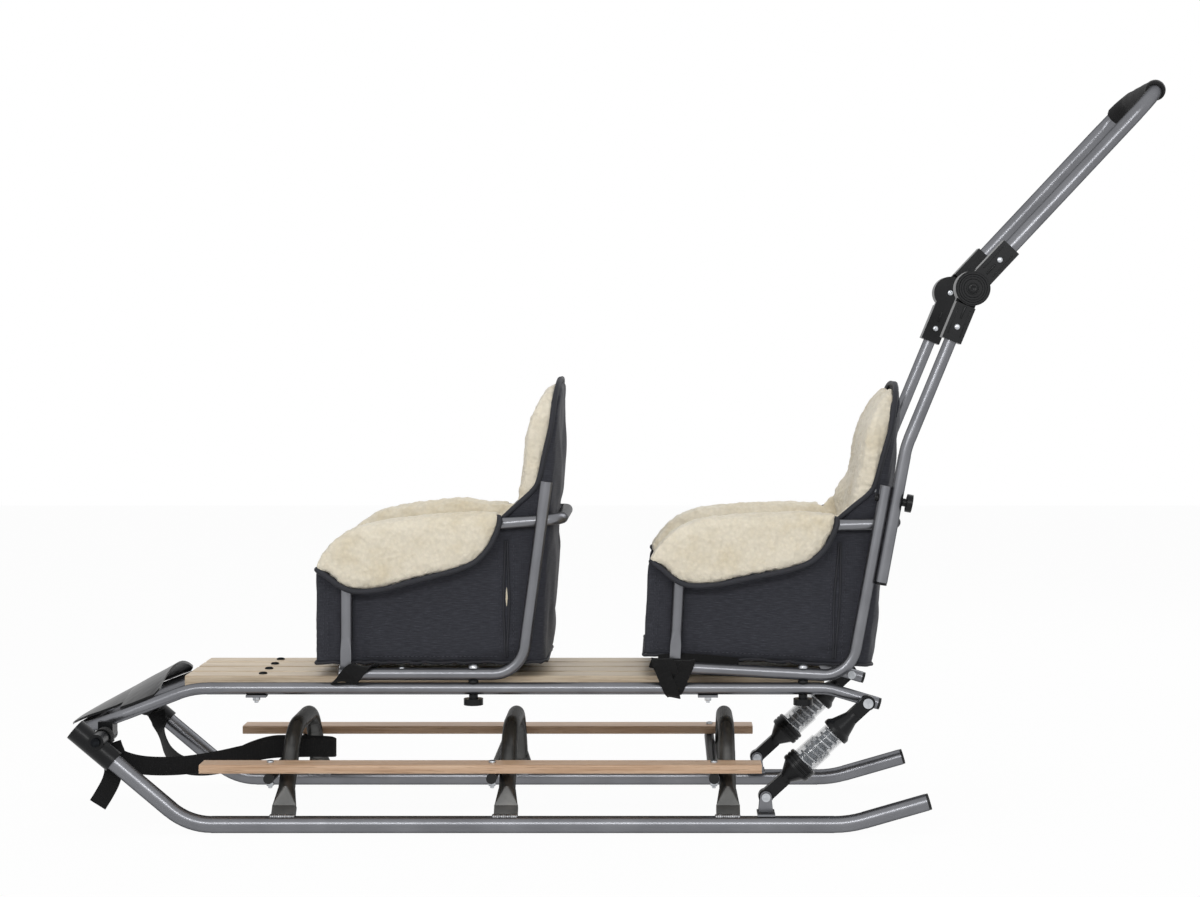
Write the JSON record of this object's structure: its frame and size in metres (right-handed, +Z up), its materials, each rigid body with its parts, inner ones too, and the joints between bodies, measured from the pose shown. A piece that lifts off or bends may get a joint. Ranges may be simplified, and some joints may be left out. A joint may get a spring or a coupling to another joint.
{
  "type": "push sled",
  "caption": "Child push sled with tube runners under arches, a slatted sprung deck, fleece-lined seats, a folding push handle and a webbing tow strap.",
  "frame": {"origin": "bottom centre of the bounding box, on the floor under the sled", "axes": "+X towards the push handle at the rear, +Y to the sled's right seen from behind the handle, +Z up"},
  "size_m": [1.6661, 0.425, 1.1195],
  "materials": {
    "lacquered_steel": "satin silver-grey lacquer on steel tube",
    "raw_steel": "dark oiled mild steel",
    "black_plastic": "moulded black nylon, satin",
    "clear_plastic": "clear polycarbonate tube",
    "chrome_wire": "plated spring wire",
    "zinc_bolt": "zinc plated",
    "foot_wood": "varnished pine",
    "deck_wood": "varnished beech",
    "charcoal_cloth": "charcoal heather felt",
    "fleece": "cream curled fleece",
    "webbing": "black woven webbing",
    "foam": "black closed-cell foam"
  },
  "bodies": {
    "chassis": {"runner_left": "lacquered_steel", "runner_right": "lacquered_steel", "runner_plugs": "black_plastic", "arch_front": "raw_steel", "arch_mid": "raw_steel", "arch_rear": "raw_steel", "cross_bar_front": "lacquered_steel", "cross_bar_mid": "lacquered_steel", "cross_bar_rear": "lacquered_steel", "bar_plugs": "black_plastic", "foot_slat_left": "foot_wood", "foot_slat_right": "foot_wood", "deck_frame": "lacquered_steel", "deck_plugs": "black_plastic", "deck_slats": "deck_wood", "deck_straps": "raw_steel", "nose_plate": "black_plastic", "front_bracket_left": "black_plastic", "front_bracket_right": "black_plastic", "deck_clip_left": "black_plastic", "deck_clip_right": "black_plastic", "pivot_bolts": "zinc_bolt", "damper_lower_left": "black_plastic", "damper_lower_right": "black_plastic", "damper_sleeve_left": "clear_plastic", "damper_sleeve_right": "clear_plastic", "damper_spring_left": "chrome_wire", "damper_spring_right": "chrome_wire", "damper_upper_left": "black_plastic", "damper_upper_right": "black_plastic", "damper_lugs": "lacquered_steel", "damper_bolts": "zinc_bolt", "seat_rail_front_left": "lacquered_steel", "seat_rail_front_right": "lacquered_steel", "seat_rail_rear_left": "lacquered_steel", "seat_rail_rear_right": "lacquered_steel", "seat_hoop_front": "lacquered_steel", "seat_hoop_rear": "lacquered_steel", "seat_shell_front": "charcoal_cloth", "seat_shell_rear": "charcoal_cloth", "seat_fleece_front": "fleece", "seat_fleece_rear": "fleece", "seat_knobs": "black_plastic", "seat_bushes": "black_plastic", "seat_webbing": "webbing", "push_tube_left": "lacquered_steel", "push_tube_right": "lacquered_steel", "push_knobs": "black_plastic", "hinge_lower_left": "black_plastic", "hinge_lower_right": "black_plastic", "strap_wraps": "webbing", "tow_strap": "webbing"},
    "handle": {"hinge_upper_left": "black_plastic", "hinge_upper_right": "black_plastic", "handle_tube": "lacquered_steel", "grip": "foam"}
  },
  "joints": [
    {"name": "handle_tilt", "type": "hinge", "parent": "chassis", "child": "handle", "pos_m": [0.534, 0, 0.802], "axis": [0, 1, 0], "range_deg": [-120, 55]}
  ]
}
